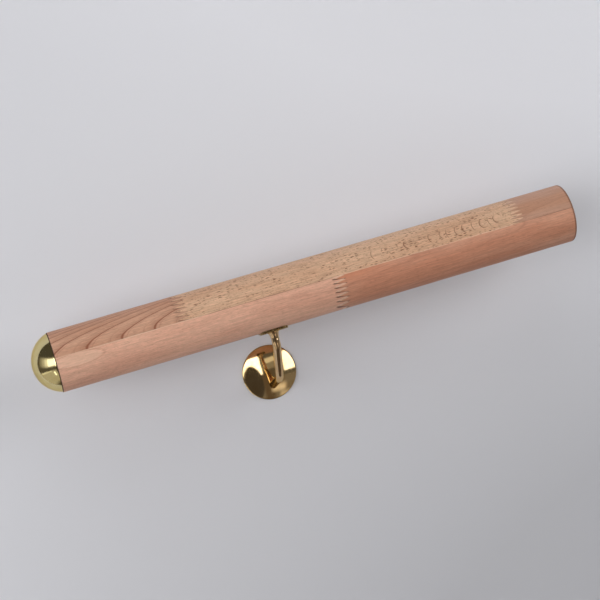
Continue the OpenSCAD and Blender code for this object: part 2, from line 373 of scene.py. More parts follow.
def make_rosette():
    """Domed plate: a socket for the neck in its front, a blind thread in its back."""
    low, high = BOX["rosette"]
    edge_r = (high[0] - low[0]) / 2
    thickness = -low[1]
    dome = thickness - ROSETTE_EDGE
    sphere_r = (edge_r ** 2 + dome ** 2) / (2 * dome)
    sphere = Vector((0, sphere_r - thickness, 0))
    start = Vector((0, 0, -ARM_DROP))
    ahead = heading(NECK_SLOPE)
    floor = start + SOCKET_FLOOR * ahead
    socket = ring_round(floor, NECK_SLOPE, ARM_R + SOCKET_CLEARANCE)
    mouth = []
    for point in socket:
        from_centre = point - sphere
        half = from_centre.dot(ahead)
        rest = from_centre.length_squared - sphere_r ** 2
        mouth.append(point + (math.sqrt(half ** 2 - rest) - half) * ahead)
    middle = sum(mouth, Vector()) / len(mouth)
    roll = 0.4 * MM
    rim = []
    for point in mouth:
        out = Vector((point.x - middle.x, 0, point.z - middle.z)).normalized()
        half = middle.x * out.x + middle.z * out.z
        rest = middle.x ** 2 + middle.z ** 2 - (edge_r - roll) ** 2
        reach = math.sqrt(half ** 2 - rest) - half
        rim.append(Vector((middle.x + reach * out.x, 0, middle.z + reach * out.z)))
    rings = [[floor], socket]
    for k in range(DOME_RINGS + 1):
        part = k / DOME_RINGS
        ring = []
        for near, far in zip(mouth, rim):
            x = near.x + (far.x - near.x) * part
            z = near.z + (far.z - near.z) * part
            height = math.sqrt(sphere_r ** 2 - x ** 2 - z ** 2) - sphere.y
            ring.append(Vector((x, -height, z)))
        rings.append(ring)
    bore_r = 4.05 * MM
    recess_r = 5.75 * MM
    recess = 0.6 * MM
    depth = thickness - 1 * MM
    outline = [(edge_r - 0.1 * roll, ROSETTE_EDGE - 0.35 * roll), (edge_r, ROSETTE_EDGE - roll)]
    outline += [(edge_r, 0.6 * roll), (edge_r - 0.2 * roll, 0.15 * roll), (edge_r - 0.6 * roll, 0)]
    outline += [(recess_r, 0), (recess_r, recess), (bore_r, recess), (bore_r, depth)]
    rings += [scaled_to(rim, radius, height) for radius, height in outline]
    rings.append([Vector((0, -depth, 0))])
    return swept("rosette_dome", rings)


def quarter_flare(r1, a1, r2, a2):
    """Quarter-ellipse profile from a flat start to an upright end."""
    points = []
    for k in range(FLARE_STEPS + 1):
        t = math.pi / 2 * k / FLARE_STEPS
        points.append((r1 + (r2 - r1) * math.sin(t), a1 + (a2 - a1) * (1 - math.cos(t))))
    return points


def bend_rings(centre, radius, start, stop):
    """Rings round a bend of the arm, from one slope to another."""
    rings = []
    for k in range(BEND_STEPS + 1):
        slope = start + (stop - start) * k / BEND_STEPS
        rings.append(ring_round(centre + radius * heading(slope - 90), slope, ARM_R))
    return rings


def head_ring(projection, rise, radius):
    """A ring of points on the arm's hollowed top, where it meets the saddle."""
    ring = ring_round(Vector((0, -projection, 0)), 90, radius)
    for point in ring:
        point.z = rise - math.sqrt(SADDLE_R ** 2 - (point.y + projection) ** 2)
    return ring


def make_arm():
    """The arm: neck, first bend, rod, second bend and flared head with a screw hole."""
    projection = -AXIS_Y
    rise = AXIS_Z
    top = rise - SADDLE_R
    start = Vector((0, 0, -ARM_DROP))
    head_centre = Vector((0, HEAD_BEND_R - projection, top - FLARE_HEIGHT))
    rod_end = head_centre + HEAD_BEND_R * heading(ROD_SLOPE - 90)
    turn = math.radians(ROD_SLOPE - NECK_SLOPE)
    reach = rod_end - start
    # Length along the neck's line as far as the corner where it crosses the rod's line.
    to_corner = -reach.dot(heading(ROD_SLOPE + 90)) / math.sin(turn)
    neck_end = start + (to_corner - NECK_BEND_R * math.tan(turn / 2)) * heading(NECK_SLOPE)
    neck_centre = neck_end + NECK_BEND_R * heading(NECK_SLOPE + 90)
    foot = start + SOCKET_FLOOR * heading(NECK_SLOPE)
    rings = [[foot], ring_round(foot, NECK_SLOPE, ARM_R)]
    rings += bend_rings(neck_centre, NECK_BEND_R, NECK_SLOPE, ROD_SLOPE)
    rings += bend_rings(head_centre, HEAD_BEND_R, ROD_SLOPE, 90)
    for radius, down in reversed(quarter_flare(HEAD_R, 0.0, ARM_R, FLARE_HEIGHT)[1:-1]):
        rings.append(ring_round(Vector((0, -projection, top - down)), 90, radius))
    screw_end = Vector((0, -projection, top - SADDLE_SCREW_DEPTH))
    rings.append(head_ring(projection, rise, HEAD_R))
    rings.append(head_ring(projection, rise, SADDLE_SCREW_R))
    rings.append(ring_round(screw_end, 90, SADDLE_SCREW_R))
    rings.append([screw_end])
    return swept("bracket_arm_brass", rings)


# ---------------------------------------------------------------- saddle

SADDLE_WALL = SADDLE_R - RAIL_R
SADDLE_CORNER_R = 5 * MM
SADDLE_CORNER_STEPS = 12
SADDLE_STEP = 0.5 * MM
SADDLE_RINGS = 6
SADDLE_EDGE_R = 0.45 * MM
SADDLE_EDGE_STEPS = 5
SADDLE_CHAMFER = 0.1 * MM
SADDLE_GAP = 0.03 * MM
# The mesh is in three cells along the rail, each round one hole. The middle cell ends here.
CELL_END = 5.7 * MM
RAIL_SCREW_X = 9.4 * MM
RAIL_SCREW_R = 1.55 * MM
RAIL_SCREW_HEAD_R = 2.85 * MM
SADDLE_SCREW_HEAD_R = 4.6 * MM


def evenly(start, stop):
    """Numbers from start up to stop, without stop, about a step apart."""
    count = max(1, round(abs(stop - start) / SADDLE_STEP))
    return [start + (stop - start) * k / count for k in range(count)]


def saddle_outline(side):
    """Points round a cell: (x, y, way out of the plate, or None on the line to the next cell)."""
    low, high = BOX["saddle_plate"]
    end_x = (high[0] - low[0]) / 2
    end_y = (high[1] - low[1]) / 2
    border = evenly(-end_y, end_y)[1:]
    if side == 0:
        half = [(x, -end_y, (0, -1)) for x in evenly(-CELL_END, CELL_END) + [CELL_END]]
        half += [(CELL_END, y, None) for y in border]
        return half + [(-x, -y, out and (0, 1)) for x, y, out in half]
    corner_x = end_x - SADDLE_CORNER_R
    corner_y = end_y - SADDLE_CORNER_R
    lower = [(x, -end_y, (0, -1)) for x in evenly(CELL_END, corner_x)]
    for k in range(SADDLE_CORNER_STEPS + 1):
        turn = math.pi / 2 * (k / SADDLE_CORNER_STEPS - 1)
        out = (math.cos(turn), math.sin(turn))
        lower.append((corner_x + SADDLE_CORNER_R * out[0], SADDLE_CORNER_R * out[1] - corner_y, out))
    lower += [(end_x, y, (1, 0)) for y in evenly(-corner_y, 0)[1:] + [0]]
    upper = [(x, -y, (out[0], -out[1])) for x, y, out in reversed(lower[:-1])]
    line = [(CELL_END, y, None) for y in reversed(border)]
    return [(side * x, y, out and (side * out[0], out[1])) for x, y, out in lower + upper + line]


def saddle_point(x, y, rise):
    """A point at a place in the saddle's plan and a distance from the rail's surface."""
    return Vector((x, AXIS_Y + y, AXIS_Z - math.sqrt((RAIL_R + rise) ** 2 - y ** 2)))


def saddle_cell(bm, side, hole):
    """A part of the plate round one hole; hole lists (radius, distance from the rail), inside first."""
    outline = saddle_outline(side)
    centre = side * RAIL_SCREW_X
    turns = [math.atan2(y, x - centre) for x, y, _ in outline]

    def hole_ring(radius, rise):
        plan = [(centre + radius * math.cos(turn), radius * math.sin(turn)) for turn in turns]
        return [saddle_point(x, y, rise) for x, y in plan]

    def edge_ring(inset, rise):
        ring = []
        for x, y, out in outline:
            across, along = out or (0, 0)
            ring.append(saddle_point(x - inset * across, y - inset * along, rise))
        return ring

    def between(near, far, rise):
        rings = []
        for k in range(1, SADDLE_RINGS):
            plan = [a.lerp(b, k / SADDLE_RINGS) for a, b in zip(near, far)]
            rings.append([saddle_point(p.x, p.y - AXIS_Y, rise) for p in plan])
        return rings

    through = [hole_ring(radius, rise) for radius, rise in hole]
    edge = [edge_ring(SADDLE_CHAMFER, SADDLE_GAP), edge_ring(0, SADDLE_GAP + SADDLE_CHAMFER)]
    start = SADDLE_WALL - SADDLE_EDGE_R
    for inset, rise in arc(SADDLE_EDGE_R, start, SADDLE_EDGE_R, 180, 90, SADDLE_EDGE_STEPS):
        edge.append(edge_ring(inset, rise))
    inside = between(through[0], edge[0], SADDLE_GAP)
    outside = between(edge[-1], through[-1], SADDLE_WALL)
    rings = inside + edge + outside + through[::-1]
    first_edge = len(inside)
    last_edge = first_edge + len(edge) - 1
    loops = [[bm.verts.new(point) for point in ring] for ring in rings]
    for i, a in enumerate(loops):
        b = loops[(i + 1) % len(loops)]
        for k in range(len(outline)):
            near = (k + 1) % len(outline)
            on_edge = outline[k][2] and outline[near][2]
            if on_edge or not first_edge <= i < last_edge:
                bm.faces.new([a[k], a[near], b[near], b[k]])


def make_saddle():
    """Plate bent to the rail, with rounded corners and edges and three countersunk holes."""
    cone = RAIL_SCREW_HEAD_R - RAIL_SCREW_R
    rail_screw = [(RAIL_SCREW_R, SADDLE_GAP), (RAIL_SCREW_R, SADDLE_WALL - cone)]
    rail_screw.append((RAIL_SCREW_HEAD_R, SADDLE_WALL))
    middle = [(SADDLE_SCREW_HEAD_R, SADDLE_GAP), (SADDLE_SCREW_HEAD_R - SADDLE_WALL, SADDLE_WALL)]
    bm = bmesh.new()
    for side, hole in ((-1, rail_screw), (0, middle), (1, rail_screw)):
        saddle_cell(bm, side, hole)
    bmesh.ops.remove_doubles(bm, verts=bm.verts, dist=0.001 * MM)
    loose = [vert for vert in bm.verts if not vert.link_faces]
    bmesh.ops.delete(bm, geom=loose, context="VERTS")
    return smooth_piece("saddle_brass", bm)


# ---------------------------------------------------------------- materials

class Nodes:
    """Builds a node tree. Each call returns the output that the next one reads."""

    def __init__(self, tree):
        self.tree = tree

    def put(self, socket, value):
        if isinstance(value, bpy.types.NodeSocket):
            self.tree.links.new(value, socket)
        else:
            socket.default_value = value

    def node(self, kind, *values, **settings):
        node = self.tree.nodes.new("ShaderNode" + kind)
        for key, value in settings.items():
            setattr(node, key, value)
        for socket, value in zip(node.inputs, values):
            self.put(socket, value)
        return node

    def math(self, operation, *values):
        return self.node("Math", *values, operation=operation).outputs[0]

    def vector(self, operation, a, b):
        return self.node("VectorMath", a, b, operation=operation).outputs[0]

    def scaled(self, vector, x, y, z):
        """The vector in cells of these sizes."""
        return self.vector("DIVIDE", vector, (x, y, z))

    def noise(self, vector, detail=2.0, roughness=0.5):
        node = self.node("TexNoise", vector)
        node.inputs["Scale"].default_value = 1.0
        node.inputs["Detail"].default_value = detail
        node.inputs["Roughness"].default_value = roughness
        return node.outputs["Fac"]

    def cells(self, vector):
        node = self.node("TexVoronoi", vector)
        node.inputs["Scale"].default_value = 1.0
        return node

    def fade(self, value, start, stop, low=0.0, high=1.0, kind="SMOOTHSTEP"):
        """low before start, high after stop, smooth between."""
        node = self.node("MapRange", interpolation_type=kind)
        for name, number in (("From Min", start), ("From Max", stop), ("To Min", low), ("To Max", high)):
            node.inputs[name].default_value = number
        self.put(node.inputs["Value"], value)
        return node.outputs["Result"]

    def band(self, value, low, high, soft):
        """1 between low and high, with soft edges."""
        up = self.fade(value, low - soft, low + soft)
        down = self.fade(value, high + soft, high - soft)
        return self.math("MULTIPLY", up, down)

    def times(self, *values):
        result = values[0]
        for value in values[1:]:
            result = self.math("MULTIPLY", result, value)
        return result

    def mix(self, factor, a, b, blend="MIX"):
        node = self.tree.nodes.new("ShaderNodeMix")
        node.data_type = "RGBA"
        node.blend_type = blend
        colours = [s for s in node.inputs if s.type == "RGBA"]
        self.put(node.inputs[0], factor)
        for socket, value in zip(colours, (a, b)):
            self.put(socket, (*value, 1.0) if isinstance(value, tuple) else value)
        return [s for s in node.outputs if s.type == "RGBA"][0]


class Shader(Nodes):
    """A material's nodes."""

    def __init__(self, name):
        self.material = bpy.data.materials.new(name)
        self.material.use_nodes = True
        super().__init__(self.material.node_tree)
        self.surface = self.tree.nodes["Principled BSDF"]
        self.where = self.node("TexCoord").outputs["Object"]

    def finish(self, colour, roughness, height=None, depth=0.02 * MM, **constants):
        self.put(self.surface.inputs["Base Color"], colour)
        self.put(self.surface.inputs["Roughness"], roughness)
        for name, value in constants.items():
            self.surface.inputs[name.replace("_", " ")].default_value = value
        if height is not None:
            bump = self.node("Bump")
            self.put(bump.inputs["Height"], height)
            bump.inputs["Distance"].default_value = depth
            self.tree.links.new(bump.outputs["Normal"], self.surface.inputs["Normal"])
        return self.material


class Beech(Shader):
    """Sanded beech. Coordinates are millimetres along the rail, across it and above the glue plane."""

    def __init__(self, name, base, warm, seed):
        super().__init__(name)
        from_axis = self.vector("SUBTRACT", self.where, (0, AXIS_Y, AXIS_Z))
        turned_node = self.node("VectorRotate", rotation_type="X_AXIS")
        self.put(turned_node.inputs["Vector"], from_axis)
        turned_node.inputs["Angle"].default_value = GLUE_TILT
        self.place = self.vector("MULTIPLY", turned_node.outputs[0], TO_MM)
        self.seeded = self.vector("ADD", self.place, (seed * 371.0, seed * 53.0, seed * 17.0))
        split = self.node("SeparateXYZ", self.place)
        self.x, self.y, self.z = split.outputs
        self.heart = (0, 17.0 * seed - 40, 46 if seed < 4 else -38)
        tone = self.fade(self.noise(self.scaled(self.seeded, 95, 16, 16)), 0.35, 0.65)
        self.colour = self.mix(tone, base, warm)
        self.heights = []
        self.fibre()

    def darken(self, mask, colour, strength=1.0):
        self.colour = self.mix(self.times(mask, strength), self.colour, colour)

    def shade(self, value):
        """Multiplies the colour by a grey value."""
        grey = self.node("CombineColor", value, value, value).outputs[0]
        self.colour = self.mix(1.0, self.colour, grey, blend="MULTIPLY")

    def fibre(self):
        """Fine streaks along the grain, and the pores between them."""
        streak = self.noise(self.scaled(self.seeded, 38, 0.9, 0.9), detail=4, roughness=0.6)
        self.shade(self.fade(streak, 0.3, 0.7, 0.90, 1.07))
        fine = self.noise(self.scaled(self.seeded, 5, 0.28, 0.28), detail=2)
        self.shade(self.fade(fine, 0.3, 0.7, 0.93, 1.05))
        self.heights.append((fine, 0.5))

    def mottle(self, length, width, low, high):
        """Small paler and darker patches, drawn out along the grain."""
        patch = self.noise(self.scaled(self.seeded, length, width, width), detail=2)
        self.shade(self.fade(patch, 0.3, 0.7, low, high))

    def flecks(self, length, width, size, share, colour, strength, mask=1.0):
        """Short dark dashes along the grain, where rays are cut through."""
        cell = self.cells(self.scaled(self.seeded, length, width, width))
        pick = self.node("SeparateColor", cell.outputs["Color"]).outputs
        there = self.math("LESS_THAN", pick[0], share)
        spread = self.fade(pick[1], 0.0, 1.0, 0.6 * size, size)
        near = self.math("SUBTRACT", 1.0, self.math("DIVIDE", cell.outputs["Distance"], spread))
        spot = self.times(self.fade(near, 0.0, 0.55), there, mask)
        self.darken(spot, colour, strength)
        self.heights.append((spot, -0.7))

    def rings(self, radius, spacing, width, trail, colour, strength, mask=1.0):
        """Growth rings: a thin dark line with a soft shade on one side of it."""
        turn = self.math("DIVIDE", radius, spacing)
        phase = self.math("FRACT", turn)
        rise = self.fade(phase, 0.0, width / spacing)
        line = self.math("MULTIPLY", self.fade(phase, 2.4 * width / spacing, width / spacing), rise)
        soft = self.math("MULTIPLY", self.fade(phase, trail / spacing, 0.0), 0.42)
        drawn = self.math("MAXIMUM", line, self.math("MULTIPLY", soft, rise))
        self.darken(self.times(drawn, mask), colour, strength)
        self.heights.append((drawn, -0.3))

    def zigzag(self, middle, dark, pale):
        """A finger joint: one flank of each finger gapes darkly, the other shows a pale glue line."""
        half = FINGER_PITCH / MM / 2
        tip = FINGER_TIP / MM
        length = FINGER_LENGTH / MM
        fold = self.math("PINGPONG", self.z, half)
        line = self.fade(fold, tip / 2, half - tip / 2, length / 2, -length / 2, "LINEAR")
        from_middle = self.math("SUBTRACT", self.x, middle / MM)
        away = self.math("ABSOLUTE", self.math("SUBTRACT", from_middle, line))
        rising = self.math("LESS_THAN", self.math("FLOORED_MODULO", self.z, 2 * half), half)
        uneven = self.noise(self.scaled(self.seeded, 7, 1.3, 1.3), detail=1)
        inside = self.band(from_middle, -length / 2, length / 2, 1.2)
        taper = self.fade(from_middle, length / 2, -length / 2, 0.25, 1.0)
        wedge = self.math("GREATER_THAN", self.math("MULTIPLY", taper, 5.0), away)
        patchy = self.fade(uneven, 0.3, 0.5, 0.5, 1.0)
        gap = self.times(self.fade(away, 5.2, 1.6), rising, inside, taper, patchy)
        thin = self.times(self.fade(away, 1.6, 0.4), self.fade(uneven, 0.4, 0.6, 0.2, 0.7))
        gap = self.math("MAXIMUM", self.times(gap, wedge), thin)
        glue = self.times(self.band(away, 0.8, 4.2, 1.0), inside, self.math("SUBTRACT", 1.0, rising))
        self.darken(glue, PALE, pale)
        self.darken(gap, DARK_GAP, dark)
        self.heights.append((gap, -1.0))

    def seam(self):
        """The glue line between the upper and lower boards: pale in some stretches, dark in others."""
        near = self.fade(self.math("ABSOLUTE", self.z), 0.5, 0.12)
        uneven = self.noise(self.scaled(self.seeded, 30, 9, 9), detail=2)
        dark = self.math("MAXIMUM", self.band(self.x, -62, 60, 12), self.fade(self.x, 225, 245))
        broken = self.fade(uneven, 0.36, 0.50, 0.25, 1.0)
        self.darken(self.times(near, dark, broken), (0.24, 0.10, 0.055), 0.6)
        self.darken(self.times(near, self.math("SUBTRACT", 1.0, dark), broken), PALE, 0.6)
        self.heights.append((near, -0.8))

    def end_grain(self):
        """A cut end: darker, with arcs of growth rings and pores; its broken edge round the plain end is
        dirty, and a near-black band at the capped end is painted shadow of the groove under the cap.
        """
        facing = self.node("SeparateXYZ", self.node("NewGeometry").outputs["Normal"]).outputs[0]
        cut = self.fade(self.math("ABSOLUTE", facing), 0.75, 0.95)
        dots = self.noise(self.scaled(self.seeded, 1, 0.35, 0.35), detail=2)
        self.darken(cut, (0.50, 0.29, 0.18), 0.6)
        from_heart = self.vector("SUBTRACT", self.place, self.heart)
        across = self.vector("MULTIPLY", from_heart, (0, 1, 1))
        radius = self.node("VectorMath", across, operation="LENGTH").outputs["Value"]
        self.rings(radius, 3.3, 0.25, 2.2, RING, 0.55, cut)
        self.darken(self.times(cut, self.fade(dots, 0.5, 0.65)), PORE, 0.4)
        low = RAIL_LOW[0] / MM
        high = RAIL_HIGH[0] / MM
        # Strong on the broken edge round the plain end, weak on the flat of the end.
        dirt = self.fade(self.math("ABSOLUTE", facing), 0.9, 0.99, 0.75, 0.1)
        self.darken(self.fade(self.x, high - 2.3, high - 1.0), (0.16, 0.07, 0.04), dirt)
        # Painted shadow: the last fraction of a millimetre before the capped end goes near-black,
        # standing in for the shade in the groove between the cap and the wood.
        self.darken(self.fade(self.x, low + 0.75, low + 0.4), (0.03, 0.014, 0.008), 0.92)

    def done(self):
        height = 0.0
        for source, weight in self.heights:
            height = self.math("ADD", height, self.math("MULTIPLY", source, weight))
        gloss = self.noise(self.scaled(self.seeded, 60, 5, 5), detail=2)
        rough = self.fade(gloss, 0.3, 0.7, 0.50, 0.66)
        return self.finish(self.colour, rough, height, 0.035 * MM, Specular_IOR_Level=0.3)


EDGE_TINT = (0.86, 0.74, 0.46, 1.0)
PORE = (0.19, 0.065, 0.025)
RING = (0.28, 0.095, 0.05)
PALE = (0.86, 0.62, 0.45)
DARK_GAP = (0.08, 0.012, 0.003)
LOWER_JOINT = joint_between("lower_lamella_left", "lower_lamella_right")
LEFT_JOINT = joint_between("upper_lamella_left", "upper_lamella_middle")
RIGHT_JOINT = joint_between("upper_lamella_middle", "upper_lamella_right")


def flame_radius(wood, slant, warp):
    """Distance from the tree's heart, less a constant: across the rail, running out along it."""
    bend = wood.noise(wood.scaled(wood.seeded, 45, 14, 14), detail=2)
    along = wood.math("MULTIPLY", wood.x, -slant)
    waver = wood.math("MULTIPLY", wood.math("SUBTRACT", bend, 0.5), warp)
    return wood.math("ADD", wood.math("ADD", wood.y, along), waver)


def upper_left_beech():
    wood = Beech("beech_flame", (0.635, 0.36, 0.24), (0.575, 0.30, 0.19), 1)
    wood.mottle(7.0, 0.9, 0.92, 1.08)
    radius = flame_radius(wood, 0.125, 1.2)
    wood.rings(wood.math("ADD", radius, 2.9), 3.78, 0.26, 1.9, RING, 1.0)
    wood.rings(wood.math("ADD", radius, 1.4), 1.89, 0.1, 0.8, RING, 0.3)
    wood.flecks(4.0, 0.8, 0.45, 0.4, RING, 0.3)
    wood.zigzag(LEFT_JOINT, 0.75, 0.1)
    return wood


def upper_middle_beech():
    wood = Beech("beech_flecked", (0.745, 0.48, 0.315), (0.685, 0.41, 0.26), 2)
    wood.mottle(9.0, 0.45, 0.84, 1.13)
    radius = flame_radius(wood, 0.02, 3.0)
    wood.rings(wood.math("ADD", radius, 0.4), 4.6, 0.2, 1.5, RING, 0.22)
    patch = wood.noise(wood.scaled(wood.seeded, 40, 7, 7), detail=1)
    wood.flecks(4.6, 1.05, 0.5, 0.5, PORE, 1.0, wood.fade(patch, 0.36, 0.52, 0.35, 1.0))
    wood.flecks(2.4, 0.7, 0.45, 0.45, RING, 0.55)
    lines = wood.math("ADD", wood.z, wood.math("MULTIPLY", patch, 3.0))
    near_seam = wood.times(wood.band(wood.z, 0.5, 8.0, 1.5), wood.band(wood.x, -60, 60, 20))
    wood.rings(lines, 2.3, 0.15, 0.6, RING, 0.5, near_seam)
    middle = wood.math("SUBTRACT", wood.z, 9.5)
    bow = wood.math("MULTIPLY", wood.math("MULTIPLY", middle, middle), 0.10)
    uneven = wood.noise(wood.scaled(wood.seeded, 11, 40, 40), detail=1)
    along = wood.math("ADD", wood.math("SUBTRACT", wood.x, bow), wood.math("MULTIPLY", uneven, 9.0))
    where = wood.times(wood.band(wood.z, 5.2, 13.0, 1.3), wood.band(wood.x, 96, 234, 6))
    present = wood.fade(wood.noise(wood.scaled(wood.seeded, 9, 6, 30), detail=0), 0.28, 0.42)
    wood.rings(along, 8.0, 0.5, 2.2, PORE, 0.9, wood.times(where, present))
    wood.zigzag(LEFT_JOINT, 0.75, 0.1)
    wood.zigzag(RIGHT_JOINT, 0.15, 0.4)
    return wood


def upper_right_beech():
    wood = Beech("beech_plain", (0.565, 0.33, 0.235), (0.53, 0.28, 0.18), 3)
    wood.rings(flame_radius(wood, 0.05, 3.0), 6.5, 0.3, 2.5, RING, 0.15)
    wood.flecks(3.4, 0.8, 0.45, 0.3, RING, 0.3)
    wood.zigzag(RIGHT_JOINT, 0.15, 0.4)
    return wood


def lower_left_beech():
    wood = Beech("beech_fine", (0.80, 0.46, 0.325), (0.74, 0.395, 0.275), 4)
    wood.mottle(6.0, 1.0, 0.93, 1.07)
    wood.rings(flame_radius(wood, 0.03, 3.0), 5.4, 0.25, 2.0, RING, 0.14)
    wood.flecks(3.2, 0.6, 0.45, 0.5, RING, 0.25)
    from_heart = wood.vector("SUBTRACT", wood.place, (-176, 0, -5.5))
    oval = wood.vector("MULTIPLY", from_heart, (1 / 24, 0, 1 / 5.5))
    island = wood.node("VectorMath", oval, operation="LENGTH").outputs["Value"]
    wood.darken(wood.fade(island, 1.0, 0.85), (0.86, 0.60, 0.43), 0.35)
    wood.darken(wood.band(island, 1.0, 1.06, 0.07), RING, 0.3)
    wood.zigzag(LOWER_JOINT, 1.0, 0.85)
    return wood


def lower_right_beech():
    wood = Beech("beech_red", (0.67, 0.345, 0.228), (0.60, 0.27, 0.166), 5)
    wood.mottle(9.0, 1.0, 0.94, 1.06)
    wood.rings(flame_radius(wood, -0.04, 4.0), 4.4, 0.25, 2.2, RING, 0.25)
    wood.flecks(5.0, 0.7, 0.45, 0.45, RING, 0.35)
    flush = wood.times(wood.fade(wood.x, 135, 70), wood.fade(wood.z, -9, -2))
    wood.darken(flush, (0.66, 0.24, 0.12), 0.45)
    wood.zigzag(LOWER_JOINT, 1.0, 0.85)
    return wood


def finished_beech(wood):
    wood.seam()
    wood.end_grain()
    return wood.done()


def brass_material(name, pale, deep, roughest):
    """Polished, lacquered brass with faint polishing waves and slight tarnish."""
    metal = Shader(name)
    mm = metal.vector("MULTIPLY", metal.where, TO_MM)
    cloud = metal.noise(metal.scaled(mm, 9, 9, 9), detail=3)
    colour = metal.mix(metal.fade(cloud, 0.35, 0.7), pale, deep)
    smear = metal.noise(metal.scaled(mm, 1.1, 1.1, 3.5), detail=3)
    rough = metal.fade(smear, 0.3, 0.75, 0.5 * roughest, roughest)
    wave = metal.noise(metal.scaled(mm, 4.5, 4.5, 4.5), detail=1)
    fine = metal.noise(metal.scaled(mm, 0.35, 0.35, 0.35), detail=2)
    height = metal.math("ADD", wave, metal.math("MULTIPLY", fine, 0.03))
    return metal.finish(colour, rough, height, 0.03 * MM, Metallic=1.0, Specular_Tint=EDGE_TINT)


def steel_material():
    """Zinc-plated steel: bluish, slightly clouded, with fine turning marks."""
    metal = Shader("zinc_plate")
    mm = metal.vector("MULTIPLY", metal.where, TO_MM)
    cloud = metal.noise(metal.scaled(mm, 1.6, 1.6, 1.6), detail=3)
    colour = metal.mix(cloud, (0.50, 0.52, 0.56), (0.70, 0.70, 0.69))
    rough = metal.fade(cloud, 0.3, 0.7, 0.24, 0.4)
    fine = metal.noise(metal.scaled(mm, 0.2, 0.2, 0.2), detail=2)
    return metal.finish(colour, rough, fine, 0.01 * MM, Metallic=1.0)


def nylon_material():
    """Moulded grey nylon with a dull, slightly pebbled skin."""
    skin = Shader("moulded_nylon")
    mm = skin.vector("MULTIPLY", skin.where, TO_MM)
    cloud = skin.noise(skin.scaled(mm, 6, 12, 6), detail=3)
    colour = skin.mix(cloud, (0.36, 0.37, 0.39), (0.46, 0.47, 0.485))
    pebble = skin.noise(skin.scaled(mm, 0.3, 0.3, 0.3), detail=2)
    rough = skin.fade(pebble, 0.3, 0.7, 0.42, 0.56)
    return skin.finish(colour, rough, pebble, 0.02 * MM)


# ---------------------------------------------------------------- pieces

def wood_pieces():
    capped = rounded_end(RAIL_LOW[0], -1, CAP_END_ROUND)
    plain = rounded_end(RAIL_HIGH[0], 1, END_ROUND)
    after_left = finger_end(LEFT_JOINT, 1)
    before_right = finger_end(RIGHT_JOINT, -1)
    table = (
        ("upper_lamella_left", capped, finger_end(LEFT_JOINT, -1), 1, upper_left_beech),
        ("upper_lamella_middle", after_left, before_right, 1, upper_middle_beech),
        ("upper_lamella_right", finger_end(RIGHT_JOINT, 1), plain, 1, upper_right_beech),
        ("lower_lamella_left", capped, finger_end(LOWER_JOINT, -1), -1, lower_left_beech),
        ("lower_lamella_right", finger_end(LOWER_JOINT, 1), plain, -1, lower_right_beech),
    )
    for node, start, end, side, material in table:
        piece = board(node.replace("lamella", "board"), start, end, side)
        piece.data.materials.append(finished_beech(material()))
        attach(piece, RIDES_ON)
        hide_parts(node)


def brass_pieces(cap_brass, rosette_brass, arm_brass, saddle_brass):
    table = (
        (make_end_cap(), "end_cap", cap_brass),
        (make_rosette(), "rosette", rosette_brass),
        (make_arm(), "bracket_arm", arm_brass),
        (make_saddle(), "saddle_plate", saddle_brass),
    )
    for piece, node, brass in table:
        piece.data.materials.append(brass)
        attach(piece, RIDES_ON)
        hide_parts(node)


def carried_over(node, material, bevel):
    """A CAD node keeps its shape; it gets welded, softened edges and a finish."""
    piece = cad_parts[node]
    piece.data.materials.clear()
    piece.data.materials.append(material)
    weld = piece.modifiers.new("weld", "WELD")
    weld.merge_threshold = 0.001 * MM
    soft = piece.modifiers.new("soft_edges", "BEVEL")
    soft.width = bevel
    soft.segments = 2
    soft.limit_method = "ANGLE"
    soft.angle_limit = SHARP_ANGLE
    soft.harden_normals = True


# ---------------------------------------------------------------- stage, lights, camera

WALL_LEFT = -0.47
WALL_RIGHT = 1.4
WALL_TOP = 1.1
FLOOR_Z = -0.55
WALL_GAP = 0.3 * MM
WALL_HOLE_R = 24 * MM
WALL_HOLE_SEGMENTS = 64
FLOOR_REACH = 4.0


def stage_piece(name, points, faces, material):
    mesh = bpy.data.meshes.new(name)
    mesh.from_pydata(points, [], faces)
    mesh.materials.append(material)
    piece = link_object(name, mesh)
    return piece


def see_through_from_behind(paint):
    """The stage hides nothing from a viewer behind or below it."""
    clear = paint.node("BsdfTransparent").outputs[0]
    behind = paint.node("NewGeometry").outputs["Backfacing"]
    sight = paint.node("MixShader", behind, paint.surface.outputs[0], clear)
    output = paint.tree.nodes["Material Output"]
    paint.tree.links.new(sight.outputs[0], output.inputs["Surface"])


def wall_material():
    """Matt white board, with painted light: its colour is lighter towards the top right and darker
    towards the bottom right, standing in for uneven light.
    """
    paint = Shader("wall_paint")
    cloud = paint.noise(paint.scaled(paint.where, 0.25, 0.25, 0.25), detail=2)
    colour = paint.mix(cloud, (0.735, 0.74, 0.785), (0.745, 0.75, 0.79))
    across, _, up = paint.node("SeparateXYZ", paint.where).outputs
    # Painted light: a bilinear slope across the board, from across and up, brightens and darkens its
    # colour in place of the lamps' falloff.
    slope = paint.math("MULTIPLY_ADD", across, 1.7, 0.45)
    tone = paint.math("MULTIPLY_ADD", up, slope, 1.02)
    tone = paint.math("MINIMUM", paint.math("MAXIMUM", tone, 0.84), 1.2)
    colour = paint.vector("MULTIPLY", colour, paint.node("CombineXYZ", tone, tone, tone).outputs[0])
    fine = paint.noise(paint.scaled(paint.where, 0.0012, 0.0012, 0.0012), detail=2)
    paint.finish(colour, 0.7, fine, 0.02 * MM)
    see_through_from_behind(paint)
    return paint.material


def floor_material():
    """Pale floor; the camera sees it evenly lit."""
    floor = Shader("floor_grey")
    cloud = floor.noise(floor.scaled(floor.where, 0.4, 0.4, 0.4), detail=3)
    colour = floor.mix(cloud, (0.42, 0.41, 0.40), (0.46, 0.45, 0.44))
    seen = floor.node("LightPath").outputs["Is Camera Ray"]
    floor.put(floor.surface.inputs["Emission Color"], colour)
    floor.put(floor.surface.inputs["Emission Strength"], floor.math("MULTIPLY", seen, 0.9))
    floor.finish(colour, 0.8)
    see_through_from_behind(floor)
    return floor.material


